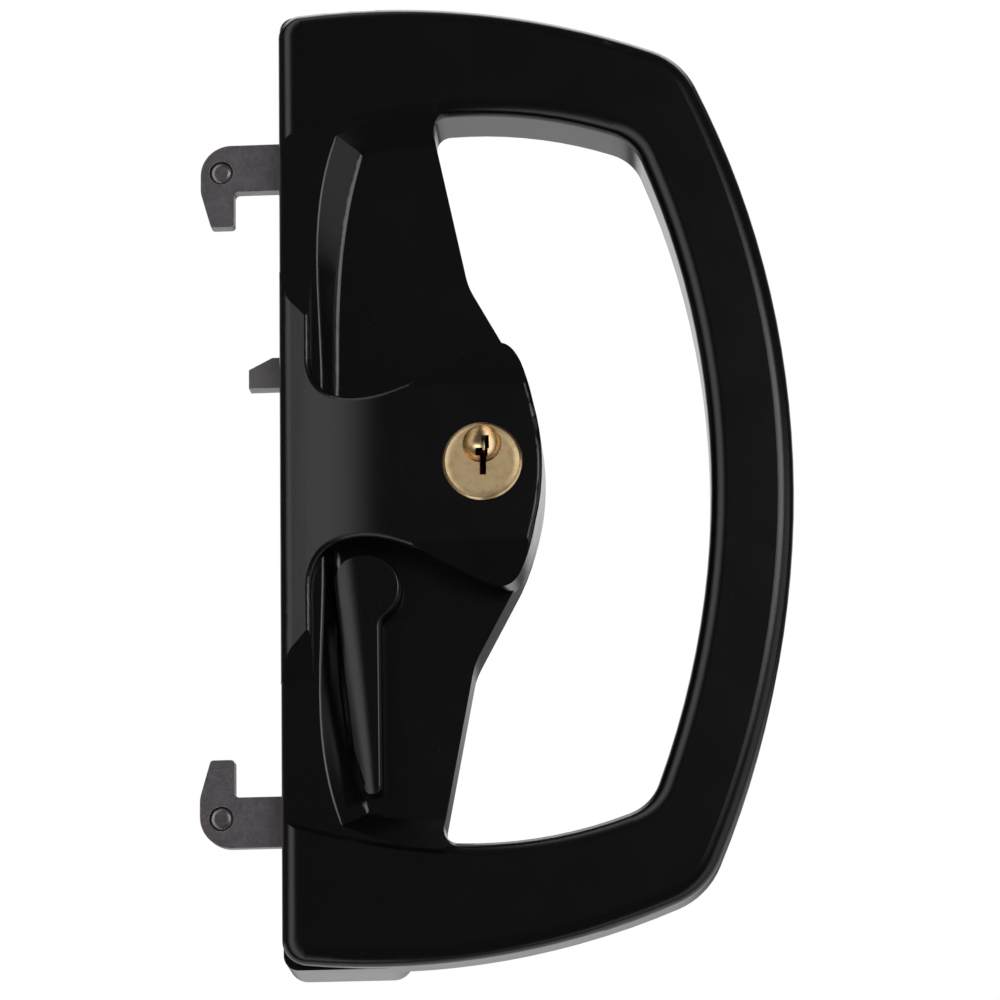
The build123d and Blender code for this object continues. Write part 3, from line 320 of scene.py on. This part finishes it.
zinc_steel = plated(
    "inner_zinc_plate", (0.62, 0.62, 0.6), (0.5, 0.49, 0.45), 0.3, 0.3, (0.4, 1.0, 3.0)
)
spring_steel = plated("spring_steel", (0.3, 0.3, 0.31), (0.2, 0.2, 0.2), 0.25, 0.2)
plug_brass = brass("plug_brass", 0.49, 0.004, True)
barrel_brass = brass("barrel_brass", 0.3, 0.005, False)

finishes = {
    black_paint: ["handle_casting"],
    lever_paint: ["snib_lever"],
    trigger_steel: ["trigger"],
    hook_steel: ["upper_hook", "lower_hook"],
    **{material: [piece] for piece, material in insert_steels.items()},
    hard_steel: ["upper_drive_pin", "lower_drive_pin", "hook_pivots"],
    plug_brass: ["cylinder_plug"],
    barrel_brass: ["cylinder_body", "chamber_cover", "key_pins", "driver_pins"],
    spring_steel: ["trigger_spring", "pin_springs", "cylinder_clip"],
}
named = {piece: material for material, members in finishes.items() for piece in members}
for piece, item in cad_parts.items():
    material = named.get(piece, zinc_steel)
    item.data.materials.clear()
    item.data.materials.append(material)

# Trigger spring: the CAD's coil as a piece of its own, fixed to the case
low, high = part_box("trigger_spring")
coil = bpy.data.objects.new("trigger_coil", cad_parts["trigger_spring"].data.copy())
bpy.context.scene.collection.objects.link(coil)
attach(coil, "case")
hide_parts("trigger_spring")
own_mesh(coil)

# Floor
low, high = cad_bounds
floor_z = low.z - floor_drop
signs = ((-1, -1), (1, -1), (1, 1), (-1, 1))
corners = [(x * floor_reach, y * floor_reach, floor_z) for x, y in signs]
floor_mesh = bpy.data.meshes.new("floor")
floor_mesh.from_pydata(corners, [], [(0, 1, 2, 3)])
floor = bpy.data.objects.new("floor", floor_mesh)
bpy.context.scene.collection.objects.link(floor)
floor_paint, floor_bsdf = shader("floor_pale", (0.8, 0.8, 0.79), 0.8)
floor_tone = noise(floor_paint, place(floor_paint), 0.02, 2.0)
tone = mixed(floor_paint, floor_tone, (0.82, 0.82, 0.81), (0.78, 0.78, 0.77))
link(floor_paint, tone, floor_bsdf.inputs["Base Color"])
floor_mesh.materials.append(floor_paint)
floor.visible_glossy = False

# Studio surroundings: soft lights at the left, low right and above, white behind, and a white
# backdrop for the camera
world = bpy.data.worlds.new("studio")
world.use_nodes = True
bpy.context.scene.world = world
direction = node(world, "ShaderNodeTexCoord").outputs["Generated"]
along_x, along_y, along_z = node(world, "ShaderNodeSeparateXYZ", {"Vector": direction}).outputs
azimuth = maths(world, "ARCTAN2", along_x, maths(world, "MULTIPLY", along_y, -1.0))
elevation = maths(world, "ARCSINE", along_z)
leftward = maths(world, "MULTIPLY", azimuth, -1.0)


def fade(value, start, end):
    """1 before the start, falling to 0 at the end, in degrees."""
    return ramp(world, value, radians(start), radians(end), 1.0, 0.0)


def lobe(value, rise, fall):
    """1 between the end of the rise and the start of the fall, in degrees."""
    up = ramp(world, value, radians(rise[0]), radians(rise[1]))
    return maths(world, "MULTIPLY", up, fade(value, *fall))


def lit(shape, height, strength):
    """Light of a strength where two shapes meet."""
    return maths(world, "MULTIPLY", maths(world, "MULTIPLY", shape, height), strength)


def toward_back(edge, share):
    """A share of the light, limited to the back by its rise along Y."""
    return maths(world, "MULTIPLY", ramp(world, along_y, *edge), share)


left = maths(world, "MULTIPLY", lobe(leftward, left_rise, left_fall), left_light)
key = lit(lobe(azimuth, key_rise, key_fall), lobe(elevation, key_bottom, key_top), key_light)
side = lit(lobe(azimuth, side_rise, side_fall), fade(elevation, *side_height), side_light)
horizon = lobe(elevation, back_bottom, back_top)
behind = toward_back(back_edge, ramp(world, horizon, 0.0, 1.0, 1.0, back_horizon))
under = toward_back(under_edge, ramp(world, along_z, *under_low, under_light, 0.0))
overhead = toward_back(overhead_edge, ramp(world, along_z, *overhead_height, 0.0, overhead_light))
seen = node(world, "ShaderNodeLightPath").outputs["Is Camera Ray"]
glow = maths(world, "ADD", left, dark_front)
glow = maths(world, "ADD", glow, maths(world, "MAXIMUM", key, side))
for other in (overhead, behind, under, seen):
    glow = maths(world, "MAXIMUM", glow, other)
background = world.node_tree.nodes["Background"]
background.inputs["Color"].default_value = (1.0, 1.0, 1.0, 1.0)
link(world, glow, background.inputs["Strength"])

# Camera of the photograph
forward = Vector(
    (sin(camera_yaw) * cos(camera_pitch), cos(camera_yaw) * cos(camera_pitch), sin(camera_pitch))
)
level = Vector((cos(camera_yaw), -sin(camera_yaw), 0.0))
upward = level.cross(forward)
right = cos(camera_roll) * level + sin(camera_roll) * upward
top = cos(camera_roll) * upward - sin(camera_roll) * level
camera_data = bpy.data.cameras.new("camera")
camera_data.lens = camera_lens
camera_data.sensor_width = camera_sensor
camera = bpy.data.objects.new("camera", camera_data)
camera.matrix_world = Matrix(
    (
        (right.x, top.x, -forward.x, camera_place.x),
        (right.y, top.y, -forward.y, camera_place.y),
        (right.z, top.z, -forward.z, camera_place.z),
        (0.0, 0.0, 0.0, 1.0),
    )
)
bpy.context.scene.collection.objects.link(camera)
bpy.context.scene.camera = camera
bpy.context.scene.view_settings.view_transform = "Standard"
